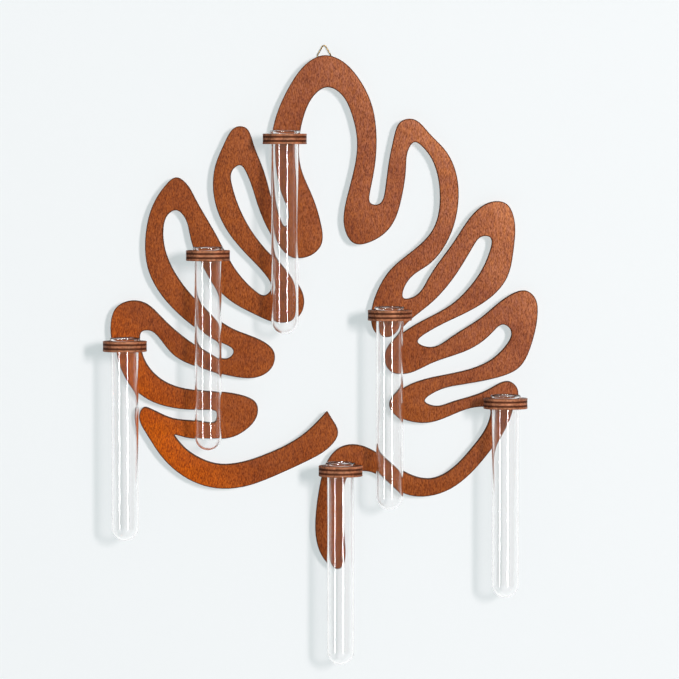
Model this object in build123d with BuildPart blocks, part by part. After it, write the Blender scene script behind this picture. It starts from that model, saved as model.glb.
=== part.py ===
# Wall-hung propagation vase: a plywood leaf board with six rings, a glass tube hung in each,
# and a wire hanger at the top.
# Millimetres, +Z up, front towards -Y. The origin is the inside top of the hanger ring, where it hangs.

import os
from math import asin, cos, degrees, radians, sqrt, tan

from build123d import *

os.makedirs("parts", exist_ok=True)

# Plywood
LEAF_WIDTH = 316.0          # across the outermost lobes
SHEET = 7.7                 # nominal 8 mm plywood, the same for the board and the rings
TIP_ROUNDING = 0.8          # corner of the ribbon's free end
STEM_ROUNDING = 4.0         # lower end of the stem

# Rings and their tabs
RING_RIM = 5.85             # wood around the bore, on the radius
RING_EDGE_ROUNDING = 0.5
RING_GAP = 0.75             # board's front face to the nearest point of the disc
TAB_WIDTH = 11.0
TAB_SHOULDER = 2.5          # neck beyond the tab, on each side, where it meets the board
SLOT_CLEARANCE = 0.05       # on each side of a tab

# Glass tubes
TUBE_DIAMETER = 20.0
TUBE_LENGTH = 150.0
TUBE_WALL = 1.2
LIP_PROUD = 1.2             # rolled bead beyond the tube's outer wall
BORE_CLEARANCE = 0.4        # ring's bore to tube, on the radius
SEAT_CLEARANCE = 0.2        # lip to the edge of the ring's bore

# Hanger
WIRE_DIAMETER = 1.0
HANGER_SIDE = 12.0          # side of the wire triangle, to its sharp corners on the wire's axis
HANGER_CORNER = 1.5         # corner radius on the wire's axis
HANGER_RISE = 6.7           # inside top of the ring above the highest edge of the board
PIVOT_CLEARANCE = 0.1       # wire in its strap, on the radius
STRAP_SHEET = 0.5
STRAP_SIDE_GAP = 0.9        # strap's side to the end of the wire's straight base
STRAP_FOOT = 4.3            # strap below the screw's axis
SCREW_DROP = 6.2            # from the pivot to the screw's axis
SCREW_SHANK = 1.6
SCREW_COVER = 2.7           # wood left in front of the screw's point
SCREW_HEAD = 3.4
SCREW_HEAD_HEIGHT = 1.1
SCREW_SLOT = 0.5
SCREW_CLEARANCE = 0.05      # on the radius

# The leaf is drawn on a sheet of its own units, u to the right and v downwards.
# LEAF_WIDTH, across its outermost points, gives the units their size.

# Outer edge of the ribbon: from the end of the stem up the right side, over the arch and down
# the left side to the free end of the chin. Each lobe is followed by the slit after it.
OUTER_EDGE = [
    # right side of the stem
    (338, 571), (345, 563), (346, 545), (343.5, 515), (344, 490), (350, 476),
    # underside of the right chin
    (363, 471.5), (378, 475.5), (404, 494), (427, 497), (450, 490), (470, 475), (490, 452),
    # fourth right lobe
    (506, 429), (517, 404), (517, 387), (511, 382), (490, 389), (450, 403), (434, 406), (425, 401),
    # third right lobe
    (432, 394), (460, 385), (500, 377), (519, 368), (532, 344), (538, 314), (535, 297), (528, 291),
    (510, 295), (482, 317), (450, 338), (428, 347), (418, 342),
    # second right lobe
    (428, 332), (455, 318), (490, 298), (507, 278), (514, 248), (514, 217), (506, 203), (494, 201),
    (478, 209), (455, 240), (428, 279), (413, 297), (404, 298),
    # first right lobe
    (406, 284), (428, 265), (448, 240), (458, 206), (456, 172), (445.5, 150), (429, 132.5), (412, 118.5),
    (401, 121), (394, 136), (389, 160), (385, 190), (378, 204), (371, 203),
    # arch
    (370, 192), (375, 165), (376.5, 135), (371, 102), (358, 77), (341, 60), (324, 55), (308, 62),
    (291, 83), (275, 119), (271, 148), (275, 175), (284, 200), (289, 217), (285, 226), (279, 218),
    # first left lobe
    (270, 193), (263.5, 170), (252.5, 141), (245, 127), (238, 126), (225, 141), (214, 170), (214, 198), (228, 232),
    (250, 258), (267, 277), (271, 288), (265, 295), (254, 290),
    # second left lobe
    (235, 269), (215, 233), (195, 198), (185, 182), (176, 177), (166, 184), (152, 206), (145, 238),
    (148, 270), (165, 300), (190, 324), (222, 343), (233, 352), (229, 357.5), (215, 356),
    # third left lobe
    (190, 342), (160, 316), (145, 303), (130, 300.5), (116, 307), (110, 325), (113, 350),
    (126, 380), (148, 400), (175, 408.5), (205, 410), (219, 414), (218, 420), (203, 422),
    # left tip and underside of the chin
    (170, 418), (150, 409), (143, 407.5), (139, 413), (145, 433), (160, 456), (183, 477), (210, 488),
    (240, 488), (280, 474), (312, 459), (331, 446), (338, 433), (333, 421), (327, 411),
]

# Inner edge of the ribbon, back from the free end to the end of the stem. Each finger between
# two lobes is followed by the gap inside the next lobe.
INNER_EDGE = [
    # top of the chin and the notch behind the left tip
    (327, 411), (318, 421), (300, 437), (270, 453), (240, 463), (215, 464), (193, 455), (176, 439),
    (174, 435.5), (180, 436.5),
    # first finger
    (205, 439), (230, 438), (247, 429), (257, 415), (256, 404), (243, 396), (220, 392),
    # gap in the third left lobe
    (185, 389), (160, 379), (144, 360), (139.5, 342), (141, 332), (149, 330.5), (158, 337),
    (172, 354), (200, 368),
    # second finger
    (235, 377), (258, 377), (272, 367), (274, 353), (262, 341), (235, 330),
    # gap in the second left lobe
    (205, 309), (180, 281), (165, 250), (163, 228), (168, 214), (176, 210), (183, 215), (190, 237),
    (204, 270),
    # third finger
    (228, 299), (256, 315), (282, 323), (299, 316), (304, 300), (296, 281),
    # gap in the first left lobe
    (270, 254), (245, 220), (232, 186), (233, 169), (240, 165), (246, 172), (257, 203), (275, 241),
    # fourth finger
    (293, 257), (311, 255), (321, 245), (321, 224), (312, 195), (301, 168),
    # gap in the arch
    (299, 142), (305, 112), (316, 93), (327, 87), (339, 92), (351, 112), (357, 142), (352, 177),
    # fifth finger
    (345, 205), (345, 230), (354, 243), (372, 241), (391, 226), (402, 196),
    # gap in the first right lobe
    (406, 168), (409, 148), (414, 142), (423, 147), (436, 169), (440, 198), (433, 229), (412, 251),
    # sixth finger
    (390, 270), (376, 294), (371, 316), (376, 333), (388, 337), (406, 324),
    # gap in the second right lobe
    (430, 304), (457, 273), (474, 245), (483, 236), (490, 237), (490, 251), (476, 279), (452, 304),
    (420, 322),
    # seventh finger
    (396, 338), (384, 354), (388, 369), (404, 374),
    # gap in the third right lobe
    (430, 364), (466, 351), (493, 332), (504, 324.5), (511, 330), (506, 346), (486, 363), (450, 374),
    (414, 383),
    # eighth finger
    (396, 394), (389, 405), (396, 415), (412, 422),
    # underside of the fourth right lobe
    (428, 423), (455, 414), (480, 407), (490, 409), (490, 419),
    # top of the right chin
    (475, 445), (455, 467), (432, 479), (405, 472.5), (378, 454), (354, 445), (340, 448),
    # left side of the stem
    (327, 462), (320, 484), (315.5, 515), (317, 545), (326, 563), (338, 571),
]

# Middle of each ring's thickness, behind which its tab enters the board
RING_SEATS = {
    "top": (285, 138.5),
    "upper_left": (208.5, 254.5),
    "left": (125.5, 345),
    "centre_right": (389.5, 314),
    "right": (505, 402),
    "stem": (340.5, 469.5),
}

# Worked out from the sizes above
drawn_across = [u for u, v in OUTER_EDGE]
unit = LEAF_WIDTH / (max(drawn_across) - min(drawn_across))
arch_top = min(OUTER_EDGE, key=lambda point: point[1])
tube_radius = TUBE_DIAMETER / 2
tube_bore_radius = tube_radius - TUBE_WALL
ring_bore_radius = tube_radius + BORE_CLEARANCE
ring_radius = ring_bore_radius + RING_RIM
tube_standoff = ring_radius + RING_GAP
wire_radius = WIRE_DIAMETER / 2
strap_loop_radius = wire_radius + PIVOT_CLEARANCE + STRAP_SHEET
strap_thickness = 2 * STRAP_SHEET
board_back = -strap_loop_radius
board_front = board_back - SHEET
tube_axis_y = board_front - tube_standoff
hanger_height = HANGER_SIDE * cos(radians(30)) - HANGER_CORNER
pivot_z = wire_radius - hanger_height
strap_width = HANGER_SIDE - 2 * HANGER_CORNER * tan(radians(60)) - 2 * STRAP_SIDE_GAP
screw_z = pivot_z - SCREW_DROP
screw_depth = SHEET - SCREW_COVER
back_plane = Plane.XZ.offset(-board_back)


def leaf_point(u, v):
    return ((u - arch_top[0]) * unit, (arch_top[1] - v) * unit - HANGER_RISE)


# Leaf board: the ribbon between the two edges, with a slot for each tab and the screw's pilot hole
with BuildPart() as leaf_board:
    with BuildSketch(back_plane):
        with BuildLine():
            Spline(*[leaf_point(u, v) for u, v in OUTER_EDGE])
            Spline(*[leaf_point(u, v) for u, v in INNER_EDGE])
        make_face()
    extrude(amount=SHEET)
    ribbon_ends = leaf_board.edges().filter_by(Axis.Y).sort_by(Axis.Z)
    fillet(ribbon_ends[0], STEM_ROUNDING)
    fillet(ribbon_ends[-1], TIP_ROUNDING)
    with BuildSketch(back_plane):
        for seat in RING_SEATS.values():
            with Locations(leaf_point(*seat)):
                Rectangle(TAB_WIDTH + 2 * SLOT_CLEARANCE, SHEET + 2 * SLOT_CLEARANCE)
    extrude(amount=SHEET, mode=Mode.SUBTRACT)
    with BuildSketch(back_plane):
        with Locations((0, screw_z)):
            Circle(SCREW_SHANK / 2 + SCREW_CLEARANCE)
    extrude(amount=screw_depth, mode=Mode.SUBTRACT)

leaf_board.part.label = "leaf_board"
export_step(leaf_board.part, "parts/leaf_board.step")

# Rings and tubes, a pair at each seat
for name, seat in RING_SEATS.items():
    seat_x, seat_z = leaf_point(*seat)
    ring_bottom = seat_z - SHEET / 2
    ring_top = seat_z + SHEET / 2

    # Ring: a disc, the neck that brings it to the board and the tab that fills the slot
    with BuildPart() as tube_ring:
        with BuildSketch(Plane((seat_x, tube_axis_y, ring_bottom))):
            Circle(ring_radius)
            Rectangle(TAB_WIDTH + 2 * TAB_SHOULDER, tube_standoff, align=(Align.CENTER, Align.MIN))
        extrude(amount=SHEET)
        fillet(tube_ring.edges().filter_by(GeomType.CIRCLE), RING_EDGE_ROUNDING)
        with BuildSketch(Plane((seat_x, board_front, ring_bottom))):
            Rectangle(TAB_WIDTH, SHEET, align=(Align.CENTER, Align.MIN))
        extrude(amount=SHEET)
        with BuildSketch(Plane((seat_x, tube_axis_y, ring_bottom))):
            Circle(ring_bore_radius)
        extrude(amount=SHEET, mode=Mode.SUBTRACT)

    tube_ring.part.label = f"tube_ring_{name}"
    export_step(tube_ring.part, f"parts/tube_ring_{name}.step")

    # Tube: a wall of even thickness with a round bottom, rolled out to a bead at the mouth.
    # The bead hangs at the edge of the ring's bore.
    lip_height = ring_top + sqrt((LIP_PROUD + SEAT_CLEARANCE) ** 2 - BORE_CLEARANCE**2)
    mouth_height = lip_height + LIP_PROUD
    bowl_height = mouth_height - TUBE_LENGTH + tube_radius
    with BuildPart() as glass_tube:
        with BuildSketch(Plane((seat_x, tube_axis_y, 0), x_dir=(1, 0, 0), z_dir=(0, -1, 0))):
            with BuildLine():
                CenterArc((0, bowl_height), tube_radius, -90, 90)
                Line((tube_radius, bowl_height), (tube_radius, lip_height - LIP_PROUD))
                CenterArc((tube_radius, lip_height), LIP_PROUD, -90, 180)
                CenterArc((tube_radius, mouth_height - TUBE_WALL), TUBE_WALL, 90, 90)
                Line((tube_bore_radius, mouth_height - TUBE_WALL), (tube_bore_radius, bowl_height))
                CenterArc((0, bowl_height), tube_bore_radius, 0, -90)
                Line((0, bowl_height - tube_bore_radius), (0, bowl_height - tube_radius))
            make_face()
        revolve(axis=Axis((seat_x, tube_axis_y, 0), (0, 0, 1)))

    glass_tube.part.label = f"glass_tube_{name}"
    export_step(glass_tube.part, f"parts/glass_tube_{name}.step")
    print(name, "seat", round(seat_x, 2), round(tube_axis_y, 2), round(seat_z, 2),
          "mouth", round(mouth_height, 2), "bowl", round(bowl_height, 2))

# Hanger ring: a wire triangle with rounded corners, standing on its base in the strap
with BuildPart() as hanger_ring:
    with BuildLine(Plane.XZ) as triangle:
        FilletPolyline(
            (HANGER_SIDE / 2, pivot_z),
            (0, pivot_z + HANGER_SIDE * cos(radians(30))),
            (-HANGER_SIDE / 2, pivot_z),
            radius=HANGER_CORNER,
            close=True,
        )
    with BuildSketch(Plane(triangle.line @ 0, z_dir=triangle.line % 0)):
        Circle(wire_radius)
    sweep(path=triangle.line)

hanger_ring.part.label = "hanger_ring"
export_step(hanger_ring.part, "parts/hanger_ring.step")

# Hanger strap: a strip folded over the wire, its two layers flat on the board's back
with BuildPart() as hanger_strap:
    with BuildSketch(Plane.YZ):
        with Locations((0, pivot_z)):
            Circle(strap_loop_radius)
        with Locations((board_back, pivot_z)):
            Rectangle(strap_thickness, SCREW_DROP + STRAP_FOOT, align=(Align.MIN, Align.MAX))
        with Locations((0, pivot_z)):
            Circle(wire_radius + PIVOT_CLEARANCE, mode=Mode.SUBTRACT)
    extrude(amount=strap_width / 2, both=True)
    with BuildSketch(back_plane):
        with Locations((0, screw_z)):
            Circle(SCREW_SHANK / 2 + SCREW_CLEARANCE)
    extrude(amount=-strap_thickness, mode=Mode.SUBTRACT)

hanger_strap.part.label = "hanger_strap"
export_step(hanger_strap.part, "parts/hanger_strap.step")

# Hanger screw: domed slotted head on the strap, shank in the board
screw_seat = board_back + strap_thickness
screw_point = -strap_thickness - screw_depth
shank_radius = SCREW_SHANK / 2
head_radius = SCREW_HEAD / 2
dome_radius = (head_radius**2 + SCREW_HEAD_HEIGHT**2) / (2 * SCREW_HEAD_HEIGHT)
dome_angle = degrees(asin(head_radius / dome_radius))
with BuildPart() as hanger_screw:
    with BuildSketch(Plane((0, screw_seat, screw_z), x_dir=(1, 0, 0), z_dir=(0, 0, 1))):
        with BuildLine():
            Polyline(
                (0, SCREW_HEAD_HEIGHT),
                (0, screw_point),
                (shank_radius, screw_point + shank_radius),
                (shank_radius, 0),
                (head_radius, 0),
            )
            CenterArc((0, SCREW_HEAD_HEIGHT - dome_radius), dome_radius, 90 - dome_angle, dome_angle)
        make_face()
    revolve(axis=Axis((0, screw_seat, screw_z), (0, 1, 0)))
    with BuildSketch(Plane.XZ.offset(-screw_seat - SCREW_HEAD_HEIGHT)):
        with Locations((0, screw_z)):
            Rectangle(SCREW_HEAD, SCREW_SLOT)
    extrude(amount=SCREW_HEAD_HEIGHT / 2, mode=Mode.SUBTRACT)

hanger_screw.part.label = "hanger_screw"
export_step(hanger_screw.part, "parts/hanger_screw.step")
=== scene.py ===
# Wall-hung propagation vase: a stained plywood leaf, six plywood rings, six glass tubes and a wire hanger.
import math

import bpy
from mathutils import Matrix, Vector


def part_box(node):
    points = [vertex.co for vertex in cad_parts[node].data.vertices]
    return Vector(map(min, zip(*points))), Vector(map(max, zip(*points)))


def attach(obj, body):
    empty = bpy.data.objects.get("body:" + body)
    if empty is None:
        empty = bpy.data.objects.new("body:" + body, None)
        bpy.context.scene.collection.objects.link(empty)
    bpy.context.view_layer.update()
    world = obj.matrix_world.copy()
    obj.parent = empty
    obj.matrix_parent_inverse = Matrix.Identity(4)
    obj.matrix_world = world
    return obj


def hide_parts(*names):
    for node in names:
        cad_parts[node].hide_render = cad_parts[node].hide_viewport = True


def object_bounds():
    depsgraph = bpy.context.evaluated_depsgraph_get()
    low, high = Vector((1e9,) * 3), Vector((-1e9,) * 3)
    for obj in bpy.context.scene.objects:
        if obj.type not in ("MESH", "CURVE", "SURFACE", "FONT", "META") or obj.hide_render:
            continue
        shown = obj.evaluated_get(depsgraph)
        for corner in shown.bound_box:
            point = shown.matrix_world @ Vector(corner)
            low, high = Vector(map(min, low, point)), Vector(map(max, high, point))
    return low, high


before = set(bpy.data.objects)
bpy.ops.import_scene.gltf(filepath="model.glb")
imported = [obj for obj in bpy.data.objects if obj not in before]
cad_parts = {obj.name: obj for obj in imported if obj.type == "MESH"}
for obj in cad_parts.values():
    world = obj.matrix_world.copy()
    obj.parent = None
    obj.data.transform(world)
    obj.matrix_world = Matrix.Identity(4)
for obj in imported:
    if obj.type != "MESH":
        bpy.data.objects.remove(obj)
cadLow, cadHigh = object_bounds()
mm = 0.001
mergeGap = 1e-6             # m, points nearer than this become one
edgeAngle = 35              # degrees, bends sharper than this stay crisp
seats = ["top", "upper_left", "left", "centre_right", "right", "stem"]
print("frame loaded,", len(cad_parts), "nodes")


# Small helpers

def pickOnly(piece):
    if bpy.context.mode != "OBJECT":
        bpy.ops.object.mode_set(mode="OBJECT")
    bpy.ops.object.select_all(action="DESELECT")
    piece.select_set(True)
    bpy.context.view_layer.objects.active = piece


def selectFaces(piece, wanted):
    pickOnly(piece)
    bpy.ops.object.mode_set(mode="EDIT")
    bpy.context.tool_settings.mesh_select_mode = (False, False, True)
    bpy.ops.mesh.select_all(action="DESELECT")
    bpy.ops.object.mode_set(mode="OBJECT")
    for face in piece.data.polygons:
        face.select = wanted(face.center, face.normal)
    bpy.ops.object.mode_set(mode="EDIT")


def selectEdges(piece, wanted):
    pickOnly(piece)
    bpy.ops.object.mode_set(mode="EDIT")
    bpy.context.tool_settings.mesh_select_mode = (False, True, False)
    bpy.ops.mesh.select_all(action="DESELECT")
    bpy.ops.object.mode_set(mode="OBJECT")
    points = piece.data.vertices
    for edge in piece.data.edges:
        edge.select = wanted(points[edge.vertices[0]].co, points[edge.vertices[1]].co)
    bpy.ops.object.mode_set(mode="EDIT")


def copyAt(piece, name, offset):
    twin = piece.copy()
    twin.data = piece.data.copy()
    twin.name = name
    bpy.context.collection.objects.link(twin)
    for point in twin.data.vertices:
        point.co += offset
    return twin


def useModifier(piece, kind, **settings):
    pickOnly(piece)
    bpy.ops.object.modifier_add(type=kind)
    modifier = piece.modifiers[-1]
    for key, value in settings.items():
        setattr(modifier, key, value)
    bpy.ops.object.modifier_apply(modifier=modifier.name)


def smoothByAngle(piece, degrees):
    pickOnly(piece)
    bpy.ops.object.shade_smooth_by_angle(angle=math.radians(degrees))


def hand(piece, body, node):
    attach(piece, body)
    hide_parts(node)


# Materials

def colour(hexValue):
    channels = [int(hexValue[i:i + 2], 16) / 255 for i in (1, 3, 5)]
    return [c / 12.92 if c <= 0.04045 else ((c + 0.055) / 1.055) ** 2.4 for c in channels] + [1.0]


def addNode(tree, kind, links=None, values=None, **settings):
    node = tree.nodes.new(kind)
    for key, value in settings.items():
        setattr(node, key, value)
    for key, value in (values or {}).items():
        node.inputs[key].default_value = value
    for key, source in (links or {}).items():
        tree.links.new(source, node.inputs[key])
    return node


def setStops(ramp, stops):
    elements = ramp.color_ramp.elements
    for i, (position, hexValue) in enumerate(stops):
        stop = elements[i] if i < 2 else elements.new(position)
        stop.position, stop.color = position, colour(hexValue)


def newMaterial(name):
    material = bpy.data.materials.new(name)
    material.use_nodes = True
    tree = material.node_tree
    tree.nodes.clear()
    return material, tree


# Birch plywood, wiped with a thin red-brown stain: fine short pores run upright, and patches of the wood took
# the stain orange and others rosy. High on the right it is painted paler and greyer, a painted sheen where
# the light falls, and low on the left the stain shows more orange. Rubbed matt, with hardly any shine.
stainedFace = {
    # place along the slant and colour there, from high on the right, paler with painted sheen, to low on the
    # left
    "stainAndPaintedSheen": ((0.0, "#e79d78"), (0.15, "#c27a5c"), (0.5, "#b86a37"), (0.86, "#b96734"), (1.0, "#e6750e")),
    # noise and tint: a pore, the wood around it and an open patch
    "fleck": ((0.33, "#968178"), (0.5, "#dbcec5"), (0.67, "#ffffff")),
    "fleckWidth": 0.45,     # mm
    "fleckLength": 1.7,     # mm
    "fleckDetail": 2.0,
    # noise and tint: an orange patch and a rosy one
    "blush": ((0.35, "#fff4c4"), (0.65, "#e8e3e2")),
    "blushWidth": 2.2,      # mm
    "blushLength": 6.0,     # mm
    "blushDetail": 4.0,
    "cloud": "#d6bfb2",
    "cloudSize": 30.0,      # mm
    "cloudNoise": (0.4, 0.7),       # where a cloud starts and where it is full
    "cloudMost": 0.6,
    "roughness": (0.72, 0.52),      # in a pore and in the open wood
    "poreDepth": 0.1,       # mm
    "poreStrength": 0.25,
    "shine": 0.04,
}
# the stain and its painted sheen change along this slope, to the left and down, between two places in m
paintedSheenSlant = {"left": 0.8, "down": 0.6, "from": -0.03, "to": 0.27}


def addGrain(tree, place, width, length, detail, grainAxis):
    stretch = [1 / (width * mm)] * 3
    stretch[grainAxis] = 1 / (length * mm)
    along = addNode(tree, "ShaderNodeMapping", {"Vector": place.outputs["Object"]}, {"Scale": stretch})
    return addNode(tree, "ShaderNodeTexNoise", {"Vector": along.outputs["Vector"]},
                   {"Scale": 1.0, "Detail": detail, "Roughness": 0.6})


def makeStainedFace(name, look, grainAxis):
    material, tree = newMaterial(name)
    place = addNode(tree, "ShaderNodeTexCoord")
    fleck = addGrain(tree, place, look["fleckWidth"], look["fleckLength"], look["fleckDetail"], grainAxis)
    taken = addGrain(tree, place, look["blushWidth"], look["blushLength"], look["blushDetail"], grainAxis)
    cloud = addNode(tree, "ShaderNodeTexNoise", {"Vector": place.outputs["Object"]},
                    {"Scale": 1 / (look["cloudSize"] * mm), "Detail": 4.0, "Roughness": 0.55})
    # painted sheen: the colour turns paler and greyer high on the right, where the light falls
    slant = addNode(tree, "ShaderNodeVectorMath", {0: place.outputs["Object"]},
                    {1: (-paintedSheenSlant["left"], 0, -paintedSheenSlant["down"])}, operation="DOT_PRODUCT")
    share = addNode(tree, "ShaderNodeMapRange", {"Value": slant.outputs["Value"]},
                    {"From Min": paintedSheenSlant["from"], "From Max": paintedSheenSlant["to"]})
    stainAndPaintedSheen = addNode(tree, "ShaderNodeValToRGB", {"Fac": share.outputs["Result"]})
    setStops(stainAndPaintedSheen, look["stainAndPaintedSheen"])
    blush = addNode(tree, "ShaderNodeValToRGB", {"Fac": taken.outputs["Fac"]})
    setStops(blush, look["blush"])
    tint = addNode(tree, "ShaderNodeValToRGB", {"Fac": fleck.outputs["Fac"]})
    setStops(tint, look["fleck"])
    blushed = addNode(tree, "ShaderNodeMix", {"A": stainAndPaintedSheen.outputs["Color"], "B": blush.outputs["Color"]},
                      {"Factor": 1.0}, data_type="RGBA", blend_type="MULTIPLY")
    flecked = addNode(tree, "ShaderNodeMix", {"A": blushed.outputs["Result"], "B": tint.outputs["Color"]},
                      {"Factor": 1.0}, data_type="RGBA", blend_type="MULTIPLY")
    cloudStart, cloudFull = look["cloudNoise"]
    patch = addNode(tree, "ShaderNodeMapRange", {"Value": cloud.outputs["Fac"]},
                    {"From Min": cloudStart, "From Max": cloudFull, "To Max": look["cloudMost"]})
    clouded = addNode(tree, "ShaderNodeMix",
                      {"Factor": patch.outputs["Result"], "A": flecked.outputs["Result"]},
                      {"B": colour(look["cloud"])}, data_type="RGBA", blend_type="MULTIPLY")
    poreRough, openRough = look["roughness"]
    gloss = addNode(tree, "ShaderNodeMapRange", {"Value": fleck.outputs["Fac"]},
                    {"From Min": 0.3, "From Max": 0.7, "To Min": poreRough, "To Max": openRough})
    pores = addNode(tree, "ShaderNodeBump", {"Height": fleck.outputs["Fac"]},
                    {"Strength": look["poreStrength"], "Distance": look["poreDepth"] * mm})
    shader = addNode(tree, "ShaderNodeBsdfPrincipled",
                     {"Base Color": clouded.outputs["Result"], "Roughness": gloss.outputs["Result"],
                      "Normal": pores.outputs["Normal"]}, {"Specular IOR Level": look["shine"]})
    addNode(tree, "ShaderNodeOutputMaterial", {"Surface": shader.outputs["BSDF"]})
    return material


# Edge of the same plywood, browned by the laser: long plies keep a warm sheen like the side of a plank, and
# cross plies show their fibre ends, dark and dull. The rings are rubbed down. The leaf's edge stays charred
# and matt, with a lighter brown line along its corners.
scorchedEdge = {
    "soot": 6.0,            # mm
    "streak": 0.9,          # mm
    "browning": (0.38, 0.62),       # noise at the darkest and at the palest
    "relief": 0.1,          # mm
    "reliefStrength": 0.3,
    "sheen": "#ffcba4",
    "ringLong": {"pale": "#c47a54", "dark": "#4e2b1b", "shine": 0.35, "roughness": 0.5},
    "ringCross": {"pale": "#623321", "dark": "#351b11", "shine": 0.1, "roughness": 0.7},
    "leafLong": {"pale": "#4c2b1d", "dark": "#2c180f", "shine": 0.02, "roughness": 0.7},
    "leafCross": {"pale": "#2e170e", "dark": "#1b0d07", "shine": 0.02, "roughness": 0.7},
    "leafCorner": {"pale": "#7a4529", "dark": "#4a2717", "shine": 0.02, "roughness": 0.7},
}


def makeScorchedEdge(name, look):
    material, tree = newMaterial(name)
    place = addNode(tree, "ShaderNodeTexCoord")
    soot = addNode(tree, "ShaderNodeTexNoise", {"Vector": place.outputs["Object"]},
                   {"Scale": 1 / (scorchedEdge["soot"] * mm), "Detail": 5.0, "Roughness": 0.65})
    fibre = addNode(tree, "ShaderNodeTexNoise", {"Vector": place.outputs["Object"]},
                    {"Scale": 1 / (scorchedEdge["streak"] * mm), "Detail": 2.0})
    browned = addNode(tree, "ShaderNodeMix", {"A": soot.outputs["Fac"], "B": fibre.outputs["Fac"]},
                      {"Factor": 0.5})
    tone = addNode(tree, "ShaderNodeValToRGB", {"Fac": browned.outputs["Result"]})
    setStops(tone, zip(scorchedEdge["browning"], (look["dark"], look["pale"])))
    relief = addNode(tree, "ShaderNodeBump", {"Height": fibre.outputs["Fac"]},
                     {"Strength": scorchedEdge["reliefStrength"], "Distance": scorchedEdge["relief"] * mm})
    shader = addNode(tree, "ShaderNodeBsdfPrincipled",
                     {"Base Color": tone.outputs["Color"], "Normal": relief.outputs["Normal"]},
                     {"Roughness": look["roughness"], "Specular IOR Level": look["shine"],
                      "Specular Tint": colour(scorchedEdge["sheen"])})
    addNode(tree, "ShaderNodeOutputMaterial", {"Surface": shader.outputs["BSDF"]})
    return material


# Borosilicate glass, drawn as tubing: clear and smooth, with faint lines along its length. Light passes a
# wall that it meets face-on and is dimmed by one that it meets edge-on, so a tube's shadow is darkest at its
# sides.
clearGlass = {
    "tint": "#ffffff",
    "ior": 1.47,
    "shine": 0.14,
    "drawLine": 2.2,        # mm
    "drawDepth": 0.05,      # mm
    "drawStrength": 0.003,
    # slant and the light that passes: face-on, slanting and edge-on
    "passes": ((0.03, "#f8f8f8"), (0.3, "#ededed"), (0.75, "#d6d6d6")),
}


def makeClearGlass():
    material, tree = newMaterial("borosilicateGlass")
    place = addNode(tree, "ShaderNodeTexCoord")
    across = 1 / (clearGlass["drawLine"] * mm)
    lines = addNode(tree, "ShaderNodeMapping", {"Vector": place.outputs["Object"]},
                    {"Scale": (across, across, 1.0)})
    wave = addNode(tree, "ShaderNodeTexNoise", {"Vector": lines.outputs["Vector"]},
                   {"Scale": 1.0, "Detail": 1.0})
    drawn = addNode(tree, "ShaderNodeBump", {"Height": wave.outputs["Fac"]},
                    {"Strength": clearGlass["drawStrength"], "Distance": clearGlass["drawDepth"] * mm})
    shader = addNode(tree, "ShaderNodeBsdfPrincipled", {"Normal": drawn.outputs["Normal"]},
                     {"Base Color": colour(clearGlass["tint"]), "Roughness": 0.0, "IOR": clearGlass["ior"],
                      "Specular IOR Level": clearGlass["shine"], "Transmission Weight": 1.0})
    slant = addNode(tree, "ShaderNodeLayerWeight", None, {"Blend": 0.5})
    dimmed = addNode(tree, "ShaderNodeValToRGB", {"Fac": slant.outputs["Facing"]})
    setStops(dimmed, clearGlass["passes"])
    passing = addNode(tree, "ShaderNodeBsdfTransparent", {"Color": dimmed.outputs["Color"]})
    path = addNode(tree, "ShaderNodeLightPath")
    shown = shader
    for ray in ("Is Diffuse Ray", "Is Shadow Ray"):
        shown = addNode(tree, "ShaderNodeMixShader",
                        {0: path.outputs[ray], 1: shown.outputs[0], 2: passing.outputs["BSDF"]})
    addNode(tree, "ShaderNodeOutputMaterial", {"Surface": shown.outputs[0]})
    return material


# Drawn brass, coloured dark brown all over: a dark warm metal, bright only where it is rubbed
drawnBrass = {
    "brassTone": ((0.35, "#3c2f1f"), (0.6, "#75603c")),       # noise and colour: dull and rubbed bright
    "grit": 0.6,            # mm
    "roughness": (0.45, 0.22),      # where it is dull and where it is bright
}


def makeDrawnBrass():
    material, tree = newMaterial("drawnBrass")
    place = addNode(tree, "ShaderNodeTexCoord")
    brassTone = addNode(tree, "ShaderNodeTexNoise", {"Vector": place.outputs["Object"]},
                      {"Scale": 1 / (drawnBrass["grit"] * mm), "Detail": 3.0})
    tone = addNode(tree, "ShaderNodeValToRGB", {"Fac": brassTone.outputs["Fac"]})
    setStops(tone, drawnBrass["brassTone"])
    dullRough, brightRough = drawnBrass["roughness"]
    rub = addNode(tree, "ShaderNodeMapRange", {"Value": brassTone.outputs["Fac"]},
                  {"To Min": dullRough, "To Max": brightRough})
    shader = addNode(tree, "ShaderNodeBsdfPrincipled",
                     {"Base Color": tone.outputs["Color"], "Roughness": rub.outputs["Result"]},
                     {"Metallic": 1.0})
    addNode(tree, "ShaderNodeOutputMaterial", {"Surface": shader.outputs["BSDF"]})
    return material


# the rings' faces: a darker stain, with the same painted sheen, paler high on the right
ringStain = dict(stainedFace, stainAndPaintedSheen=((0.0, "#86593f"), (0.15, "#7d5139"), (0.5, "#744832"),
                                     (0.86, "#784930"), (1.0, "#7c4a2c")))
boardFace = makeStainedFace("stainedBirchPly", stainedFace, 2)          # grain upright
ringFace = makeStainedFace("stainedRingPly", ringStain, 0)              # grain across
ringLongPly = makeScorchedEdge("scorchedLongPly", scorchedEdge["ringLong"])
ringCrossPly = makeScorchedEdge("scorchedCrossPly", scorchedEdge["ringCross"])
leafLongPly = makeScorchedEdge("charredLongPly", scorchedEdge["leafLong"])
leafCrossPly = makeScorchedEdge("charredCrossPly", scorchedEdge["leafCross"])
leafCorner = makeScorchedEdge("charredCorner", scorchedEdge["leafCorner"])
glass = makeClearGlass()
brass = makeDrawnBrass()
print("materials made")


# Plywood edges: five plies, the two cross plies eaten back a little by the cut

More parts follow.
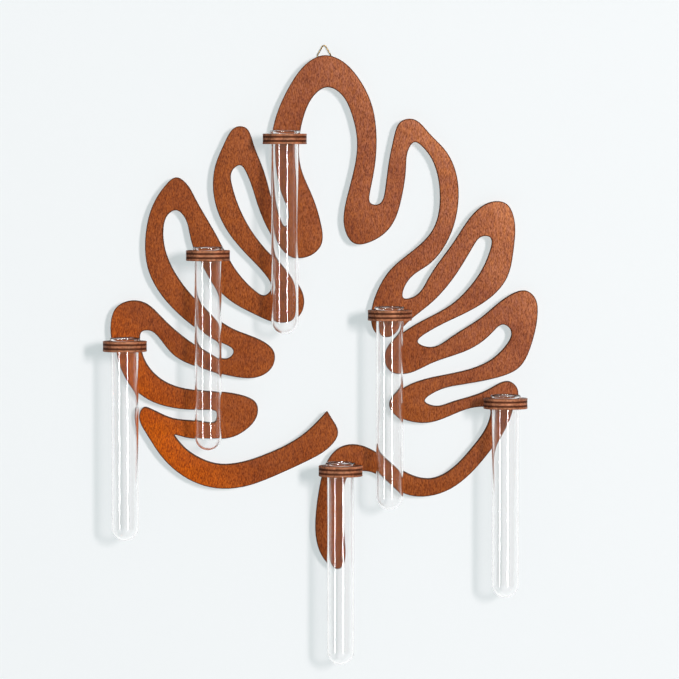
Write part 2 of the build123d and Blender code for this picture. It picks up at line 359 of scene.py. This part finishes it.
plywood = {
    "plies": 5,
    "crossDepth": 0.14 * mm,    # how far a cross ply lies back
    "step": 0.06 * mm,          # height of the slope at each glue line
    "flatFace": 0.98,           # what looks along the sheet's thickness more than this is its face,
    "cornerFace": 0.2,          # more than this, on an outer ply, its corner,
    "edgeFace": 0.5,            # and less than this its edge
}


def layPlies(piece, start, end, axis):
    # axis 1 for the upright board, 2 for the level rings; slots: face, long ply, cross ply, corner
    thickness = (end - start) / plywood["plies"]
    normal = [0, 0, 0]
    normal[axis] = 1
    for glueLine in range(1, plywood["plies"]):
        for side in (-0.5, 0.5):
            cut = [0, 0, 0]
            cut[axis] = start + glueLine * thickness + side * plywood["step"]
            pickOnly(piece)
            bpy.ops.object.mode_set(mode="EDIT")
            bpy.ops.mesh.select_all(action="SELECT")
            bpy.ops.mesh.bisect(plane_co=cut, plane_no=normal)
    for ply in range(1, plywood["plies"], 2):
        low = start + ply * thickness
        selectFaces(piece, lambda centre, direction: low < centre[axis] < low + thickness
                    and abs(direction[axis]) < plywood["edgeFace"])
        bpy.ops.transform.shrink_fatten(value=-plywood["crossDepth"])
    bpy.ops.object.mode_set(mode="OBJECT")
    for face in piece.data.polygons:
        ply = int((face.center[axis] - start) / thickness)
        outer = ply in (0, plywood["plies"] - 1)
        turned = abs(face.normal[axis])
        if turned > plywood["flatFace"]:
            face.material_index = 0
        elif turned > plywood["cornerFace"] and outer:
            face.material_index = 3
        else:
            face.material_index = 1 + ply % 2


# Leaf board: its outline is lifted off the sheet as a curve, then given its thickness and a scorched corner

leaf = {
    "corner": 0.7 * mm,
    "cornerSteps": 2,
    "slack": 0.01 * mm,         # round the front face's place
    "forward": 0.99,            # what looks forward more than this is the front
}


def makeLeafBoard():
    low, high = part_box("leaf_board")
    thickness = high.y - low.y
    piece = bpy.data.objects.new("leafBoard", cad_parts["leaf_board"].data.copy())
    bpy.context.collection.objects.link(piece)
    piece.data.materials.clear()
    selectFaces(piece, lambda centre, direction: direction.y > -leaf["forward"]
                or centre.y > low.y + leaf["slack"])
    bpy.ops.mesh.delete(type="FACE")
    bpy.ops.mesh.select_all(action="SELECT")
    bpy.ops.mesh.remove_doubles(threshold=mergeGap)
    bpy.ops.mesh.select_all(action="SELECT")
    bpy.ops.mesh.region_to_loop()
    bpy.ops.mesh.select_all(action="INVERT")
    bpy.ops.mesh.delete(type="EDGE_FACE")
    bpy.ops.object.mode_set(mode="OBJECT")
    print("leaf outline has", len(piece.data.vertices), "points")
    piece.rotation_euler.x = -math.pi / 2
    bpy.ops.object.transform_apply(location=False, rotation=True, scale=False)
    bpy.ops.object.convert(target="CURVE")
    outline = piece.data
    outline.dimensions = "2D"
    outline.fill_mode = "BOTH"
    outline.extrude = thickness / 2 - leaf["corner"]
    outline.bevel_depth = leaf["corner"]
    outline.bevel_resolution = leaf["cornerSteps"]
    outline.offset = -leaf["corner"]
    bpy.ops.object.convert(target="MESH")
    piece.rotation_euler.x = math.pi / 2
    piece.location.y = (low.y + high.y) / 2
    bpy.ops.object.transform_apply(location=True, rotation=True, scale=False)
    bpy.ops.object.mode_set(mode="EDIT")
    bpy.ops.mesh.select_all(action="SELECT")
    bpy.ops.mesh.remove_doubles(threshold=mergeGap)
    bpy.ops.mesh.select_all(action="SELECT")
    bpy.ops.mesh.normals_make_consistent(inside=False)
    for material in (boardFace, leafLongPly, leafCrossPly, leafCorner):
        piece.data.materials.append(material)
    layPlies(piece, low.y, high.y, 1)
    smoothByAngle(piece, edgeAngle)
    hand(piece, "board", "leaf_board")
    return piece


leafBoard = makeLeafBoard()
print("leaf board made,", len(leafBoard.data.polygons), "faces")


# Rings: a disc with a bore, a neck to the board and a tab through it

ring = {
    "bore": 20.8 * mm,
    "neckWidth": 16.0 * mm,
    "tabWidth": 11.0 * mm,
    "overlap": 1.0 * mm,        # of the tab and the neck
    "rounding": 0.45 * mm,
    "roundSteps": 3,
    "sides": 128,
    "flatAngle": 0.5,           # degrees, flatter seams than this go
}


def selectBorder(piece):
    # outline edges of the two flat faces: one neighbour is the flat face, the other a wall
    flat = {}
    for face in piece.data.polygons:
        for key in face.edge_keys:
            flat.setdefault(key, []).append(abs(face.normal.z) > plywood["flatFace"])
    border = {key for key, sides in flat.items() if sorted(sides) == [False, True]}
    spots = piece.data.vertices
    chosen = {(tuple(spots[a].co), tuple(spots[b].co)) for a, b in border}
    selectEdges(piece, lambda a, b: (tuple(a), tuple(b)) in chosen or (tuple(b), tuple(a)) in chosen)
    return len(chosen)


def makeRing(seat):
    low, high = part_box(f"tube_ring_{seat}")
    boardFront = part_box("leaf_board")[0].y
    radius = (high.x - low.x) / 2
    thickness = high.z - low.z
    axis = Vector(((low.x + high.x) / 2, low.y + radius, (low.z + high.z) / 2))
    bpy.ops.object.select_all(action="DESELECT")
    bpy.ops.mesh.primitive_cylinder_add(vertices=ring["sides"], radius=radius, depth=thickness, location=axis)
    piece = bpy.context.object
    piece.name = f"tubeRing_{seat}"
    bpy.ops.object.transform_apply()
    neck = (ring["neckWidth"], axis.y, boardFront)
    tab = (ring["tabWidth"], boardFront - ring["overlap"], high.y)
    for width, near, far in (neck, tab):
        bpy.ops.mesh.primitive_cube_add(size=1, location=(axis.x, (near + far) / 2, axis.z),
                                        scale=(width, far - near, thickness))
        block = bpy.context.object
        useModifier(piece, "BOOLEAN", operation="UNION", solver="EXACT", object=block)
        bpy.data.objects.remove(block)
    bpy.ops.mesh.primitive_cylinder_add(vertices=ring["sides"], radius=ring["bore"] / 2, depth=2 * thickness,
                                        location=axis)
    core = bpy.context.object
    useModifier(piece, "BOOLEAN", operation="DIFFERENCE", solver="EXACT", object=core)
    bpy.data.objects.remove(core)
    pickOnly(piece)
    bpy.ops.object.mode_set(mode="EDIT")
    bpy.ops.mesh.select_all(action="SELECT")
    bpy.ops.mesh.remove_doubles(threshold=mergeGap)
    bpy.ops.mesh.dissolve_limited(angle_limit=math.radians(ring["flatAngle"]))
    print("ring", seat, selectBorder(piece), "border edges")
    bpy.ops.mesh.bevel(offset=ring["rounding"], segments=ring["roundSteps"], affect="EDGES")
    piece.data.materials.clear()
    bpy.ops.object.mode_set(mode="OBJECT")
    for material in (ringFace, ringLongPly, ringCrossPly, ringLongPly):
        piece.data.materials.append(material)
    layPlies(piece, low.z, high.z, 2)
    smoothByAngle(piece, edgeAngle)
    return piece


firstRing = makeRing(seats[0])
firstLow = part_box(f"tube_ring_{seats[0]}")[0]
for seat in seats[1:]:
    copyAt(firstRing, f"tubeRing_{seat}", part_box(f"tube_ring_{seat}")[0] - firstLow)
for seat in seats:
    hand(bpy.data.objects[f"tubeRing_{seat}"], "board", f"tube_ring_{seat}")
print("rings made")


# Glass tubes: one profile from the middle of the bottom out, up, over the bead and down inside, spun round

tube = {
    "outside": 20.0 * mm,
    "wall": 1.2 * mm,
    "bead": 1.2 * mm,
    "sides": 96,
    "bowlSteps": 16,
    "beadSteps": 12,
    "holdLoop": 0.6 * mm,       # loop beside each bend, which keeps the long wall's shading straight
    "smoothAngle": 40,          # degrees
}


def tubeProfile(low, high):
    radius, wall, bead = tube["outside"] / 2, tube["wall"], tube["bead"]
    bowl = low.z + radius
    points = []
    for i in range(tube["bowlSteps"] + 1):
        turn = math.radians(-90 + 90 * i / tube["bowlSteps"])
        points.append((radius * math.cos(turn), bowl + radius * math.sin(turn)))
    points.append((radius, bowl + tube["holdLoop"]))
    points.append((radius, high.z - 2 * bead - tube["holdLoop"]))
    for i in range(tube["beadSteps"] + 1):
        turn = math.radians(-90 + 180 * i / tube["beadSteps"])
        points.append((radius + bead * math.cos(turn), high.z - bead + bead * math.sin(turn)))
    for i in range(1, tube["beadSteps"] // 2 + 1):
        turn = math.radians(90 + 180 * i / tube["beadSteps"])
        points.append((radius + wall * math.cos(turn), high.z - wall + wall * math.sin(turn)))
    points.append((radius - wall, high.z - wall - tube["holdLoop"]))
    points.append((radius - wall, bowl + tube["holdLoop"]))
    for i in range(tube["bowlSteps"] + 1):
        turn = math.radians(-90 * i / tube["bowlSteps"])
        points.append(((radius - wall) * math.cos(turn), bowl + (radius - wall) * math.sin(turn)))
    return points


def makeTube(seat):
    low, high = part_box(f"glass_tube_{seat}")
    axis = (low + high) / 2
    points = tubeProfile(low, high)
    bpy.ops.object.select_all(action="DESELECT")
    bpy.ops.mesh.primitive_plane_add(size=mm, location=(axis.x, axis.y, low.z))
    piece = bpy.context.object
    piece.name = f"glassTube_{seat}"
    bpy.ops.object.transform_apply()
    bpy.ops.object.mode_set(mode="EDIT")
    bpy.context.tool_settings.mesh_select_mode = (True, False, False)
    bpy.ops.mesh.select_all(action="SELECT")
    bpy.ops.mesh.merge(type="CENTER")
    for (r0, z0), (r1, z1) in zip(points, points[1:]):
        bpy.ops.mesh.extrude_region_move(TRANSFORM_OT_translate={"value": (r1 - r0, 0, z1 - z0)})
    bpy.ops.mesh.select_all(action="SELECT")
    bpy.ops.mesh.spin(steps=tube["sides"], angle=2 * math.pi, center=axis, axis=(0, 0, 1))
    bpy.ops.mesh.select_all(action="SELECT")
    bpy.ops.mesh.remove_doubles(threshold=mergeGap)
    bpy.ops.mesh.select_all(action="SELECT")
    bpy.ops.mesh.normals_make_consistent(inside=False)
    smoothByAngle(piece, tube["smoothAngle"])
    piece.data.materials.append(glass)
    return piece


firstTube = makeTube(seats[0])
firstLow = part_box(f"glass_tube_{seats[0]}")[0]
for seat in seats[1:]:
    copyAt(firstTube, f"glassTube_{seat}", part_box(f"glass_tube_{seat}")[0] - firstLow)
for seat in seats:
    hand(bpy.data.objects[f"glassTube_{seat}"], f"tube_{seat}", f"glass_tube_{seat}")
print("tubes made,", len(firstTube.data.polygons), "faces each")


# Hanger: a wire triangle that turns in a folded strap, held by one screw

hanger = {
    "side": 12.0 * mm,          # of the triangle, along the wire's middle
    "corner": 1.5 * mm,
    "cornerSteps": 10,
    "wire": 1.0 * mm,
    "wireSteps": 6,
    "fold": 0.08 * mm,          # rounding of the strap's and the screw's edges
    "foldSteps": 2,
    "foldAngle": 50,            # degrees, sharper edges than this are rounded
    "flatAngle": 1,             # degrees, flatter seams than this go
}


def makeHangerRing():
    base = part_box("hanger_ring")[0].z + hanger["wire"] / 2
    middle = base + hanger["side"] / (2 * math.sqrt(3))
    reach = hanger["side"] / math.sqrt(3) - 2 * hanger["corner"]
    points = []
    for corner in range(3):
        out = math.radians(90 + 120 * corner)
        for i in range(hanger["cornerSteps"] + 1):
            turn = out + math.radians(-60 + 120 * i / hanger["cornerSteps"])
            points.append((reach * math.cos(out) + hanger["corner"] * math.cos(turn), 0,
                           middle + reach * math.sin(out) + hanger["corner"] * math.sin(turn)))
    mesh = bpy.data.meshes.new("hangerWire")
    mesh.from_pydata(points, [(i, (i + 1) % len(points)) for i in range(len(points))], [])
    piece = bpy.data.objects.new("hangerRing", mesh)
    bpy.context.collection.objects.link(piece)
    pickOnly(piece)
    bpy.ops.object.convert(target="CURVE")
    piece.data.dimensions = "3D"
    piece.data.bevel_depth = hanger["wire"] / 2
    piece.data.bevel_resolution = hanger["wireSteps"]
    bpy.ops.object.convert(target="MESH")
    bpy.ops.object.shade_smooth()
    piece.data.materials.append(brass)
    hand(piece, "hanger", "hanger_ring")


def softenNode(node, name):
    piece = bpy.data.objects.new(name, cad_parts[node].data.copy())
    bpy.context.collection.objects.link(piece)
    pickOnly(piece)
    bpy.ops.mesh.customdata_custom_splitnormals_clear()
    bpy.ops.object.mode_set(mode="EDIT")
    bpy.ops.mesh.select_all(action="SELECT")
    bpy.ops.mesh.remove_doubles(threshold=mergeGap)
    bpy.ops.mesh.select_all(action="SELECT")
    bpy.ops.mesh.dissolve_limited(angle_limit=math.radians(hanger["flatAngle"]))
    useModifier(piece, "BEVEL", width=hanger["fold"], segments=hanger["foldSteps"], limit_method="ANGLE",
                angle_limit=math.radians(hanger["foldAngle"]))
    piece.data.materials.clear()
    piece.data.materials.append(brass)
    smoothByAngle(piece, edgeAngle)
    hand(piece, "board", node)


makeHangerRing()
softenNode("hanger_strap", "hangerStrap")
softenNode("hanger_screw", "hangerScrew")
print("hanger made")


# Stage: a painted wall that runs down and out into a floor. Both are clear from behind, and the light passes
# them, so that the back of the board is lit and seen as well.

stage = {
    "wallGap": 0.2 * mm,        # behind the screw and the strap
    "width": 6.0,
    "top": 1.8,
    "floor": -1.4,
    "cove": 0.4,
    "depth": 4.5,
    "coveSteps": 12,
    "forward": 0.99,            # what looks forward more than this is the wall
    "paint": "#c4c4c4",
    "glow": "#f0fdff",          # lifts the wall to near white, so that shadows on it stay pale
    "glowStrength": 0.39,
    "bounce": "#9a9da0",        # what the paint gives on to other surfaces
    "pale": "#f3f6f8",          # of the floor and the room, to the eye
}


def makeStagePaint(name, evenlyPale):
    material, tree = newMaterial(name)
    path = addNode(tree, "ShaderNodeLightPath")
    side = addNode(tree, "ShaderNodeNewGeometry")
    clear = addNode(tree, "ShaderNodeBsdfTransparent")
    if evenlyPale:
        seen = addNode(tree, "ShaderNodeEmission", None, {"Color": colour(stage["pale"])})
    else:
        matt = addNode(tree, "ShaderNodeBsdfDiffuse", None, {"Color": colour(stage["paint"])})
        glow = addNode(tree, "ShaderNodeEmission", None,
                       {"Color": colour(stage["glow"]), "Strength": stage["glowStrength"]})
        seen = addNode(tree, "ShaderNodeAddShader", {0: matt.outputs[0], 1: glow.outputs[0]})
    dull = addNode(tree, "ShaderNodeBsdfDiffuse", None, {"Color": colour(stage["bounce"])})
    paint = addNode(tree, "ShaderNodeMixShader", {0: path.outputs["Is Diffuse Ray"], 1: seen.outputs[0],
                                                  2: dull.outputs[0]})
    for when in (side.outputs["Backfacing"], path.outputs["Is Shadow Ray"]):
        paint = addNode(tree, "ShaderNodeMixShader", {0: when, 1: paint.outputs[0], 2: clear.outputs[0]})
    addNode(tree, "ShaderNodeOutputMaterial", {"Surface": paint.outputs[0]})
    return material


def makeStage():
    wallY = cadHigh.y + stage["wallGap"]
    cove = stage["cove"]
    bend = Vector((0, wallY - cove, stage["floor"] + cove))
    bpy.ops.object.select_all(action="DESELECT")
    bpy.ops.mesh.primitive_plane_add(size=1, location=(0, wallY, (stage["top"] + bend.z) / 2),
                                     rotation=(math.pi / 2, 0, 0))
    sheet = bpy.context.object
    sheet.name = "wallAndFloor"
    sheet.scale = (stage["width"], stage["top"] - bend.z, 1)
    bpy.ops.object.transform_apply()
    selectEdges(sheet, lambda a, b: max(a.z, b.z) < bend.z + mm)
    turns = [math.radians(-90 * i / stage["coveSteps"]) for i in range(stage["coveSteps"] + 1)]
    route = [bend + cove * Vector((0, math.cos(turn), math.sin(turn))) for turn in turns]
    route.append(Vector((0, wallY - stage["depth"], stage["floor"])))
    for here, there in zip(route, route[1:]):
        bpy.ops.mesh.extrude_region_move(TRANSFORM_OT_translate={"value": there - here})
    bpy.ops.object.mode_set(mode="OBJECT")
    bpy.ops.object.shade_smooth()
    sheet.data.materials.append(makeStagePaint("wallPaint", False))
    sheet.data.materials.append(makeStagePaint("floorPaint", True))
    for face in sheet.data.polygons:
        face.material_index = 0 if face.normal.y < -stage["forward"] else 1


makeStage()
print("stage made")


# Camera: a long lens, a little above the middle, pitched down

camera = {
    "lens": 226.4,              # mm
    "sensor": 36.0,             # mm
    "place": (0.0114, -3.164, -0.067),
    "pitch": 2.715,             # degrees
    "farthest": 50.0,           # m
}
bpy.ops.object.camera_add(location=camera["place"], rotation=(math.radians(90 - camera["pitch"]), 0, 0))
bpy.context.object.data.lens = camera["lens"]
bpy.context.object.data.sensor_width = camera["sensor"]
bpy.context.object.data.clip_end = camera["farthest"]
bpy.context.scene.camera = bpy.context.object


# Light: a front lamp that fills and casts no shadow, a key far off to the right that casts the shadows,
# panels that show only as shine on the glass, the ply edges and the wire, and a soft lamp behind for the back

lamps = {
    "front": {"for": "fill", "place": (0.9, -7.0, 2.4), "size": (1.5, 1.5), "power": 213.0,
              "tint": "#f2fcfd"},
    "key": {"for": "matt", "place": (3.1, -6.4, 0.9), "size": (0.7, 1.4), "power": 325.0,
            "tint": "#fff6f7"},
    "rightPanel": {"for": "gloss", "place": (0.86, -2.24, -0.03), "size": (0.3, 2.0), "power": 105.0,
                   "tint": "#ffffff"},
    "leftPanel": {"for": "gloss", "place": (-1.77, -1.61, -0.2), "size": (0.35, 1.6), "power": 55.0,
                  "tint": "#ffffff"},
    "topPanel": {"for": "gloss", "place": (0.0, -1.6, 1.5), "size": (3.2, 0.3), "power": 220.0,
                 "tint": "#ffffff"},
    "back": {"for": "both", "place": (0.6, 2.2, 0.5), "size": (1.2, 1.2), "power": 36.0,
             "tint": "#ffffff"},
}
aim = (cadLow + cadHigh) / 2


def makeLamp(name, lamp):
    bpy.ops.object.light_add(type="AREA", location=lamp["place"])
    light = bpy.context.object
    light.name = name + "Lamp"
    light.data.shape = "RECTANGLE"
    light.data.size, light.data.size_y = lamp["size"]
    light.data.energy = lamp["power"]
    light.data.color = colour(lamp["tint"])[:3]
    light.rotation_euler = (Vector(lamp["place"]) - aim).to_track_quat("Z", "Y").to_euler()
    light.visible_camera = False
    light.visible_diffuse = lamp["for"] != "gloss"
    light.visible_glossy = lamp["for"] in ("gloss", "both")
    light.data.use_shadow = lamp["for"] != "fill"
    light.visible_transmission = lamp["for"] == "both"


for name, lamp in lamps.items():
    makeLamp(name, lamp)

# Room: dim as a light, brighter where a surface mirrors it, and pale to the eye, through glass as well
room = {"light": 0.08, "tint": "#ffeadd", "mirrored": 0.3}


def makeRoom():
    world = bpy.data.worlds.new("room")
    bpy.context.scene.world = world
    world.use_nodes = True
    tree = world.node_tree
    tree.nodes.clear()
    path = addNode(tree, "ShaderNodeLightPath")
    mirrors = addNode(tree, "ShaderNodeMath", {0: path.outputs["Glossy Depth"]}, {1: 0.5},
                      operation="GREATER_THAN")
    lit = addNode(tree, "ShaderNodeBackground", None,
                  {"Color": colour(room["tint"]), "Strength": room["light"]})
    mirrored = addNode(tree, "ShaderNodeBackground", None,
                       {"Color": colour(room["tint"]), "Strength": room["mirrored"]})
    pale = addNode(tree, "ShaderNodeBackground", None, {"Color": colour(stage["pale"])})
    shown = lit
    for when, light in ((path.outputs["Is Transmission Ray"], pale), (mirrors.outputs[0], mirrored),
                        (path.outputs["Is Camera Ray"], pale)):
        shown = addNode(tree, "ShaderNodeMixShader", {0: when, 1: shown.outputs[0], 2: light.outputs[0]})
    addNode(tree, "ShaderNodeOutputWorld", {"Surface": shown.outputs[0]})


makeRoom()
bpy.context.scene.view_settings.view_transform = "Standard"
print("camera and light set")
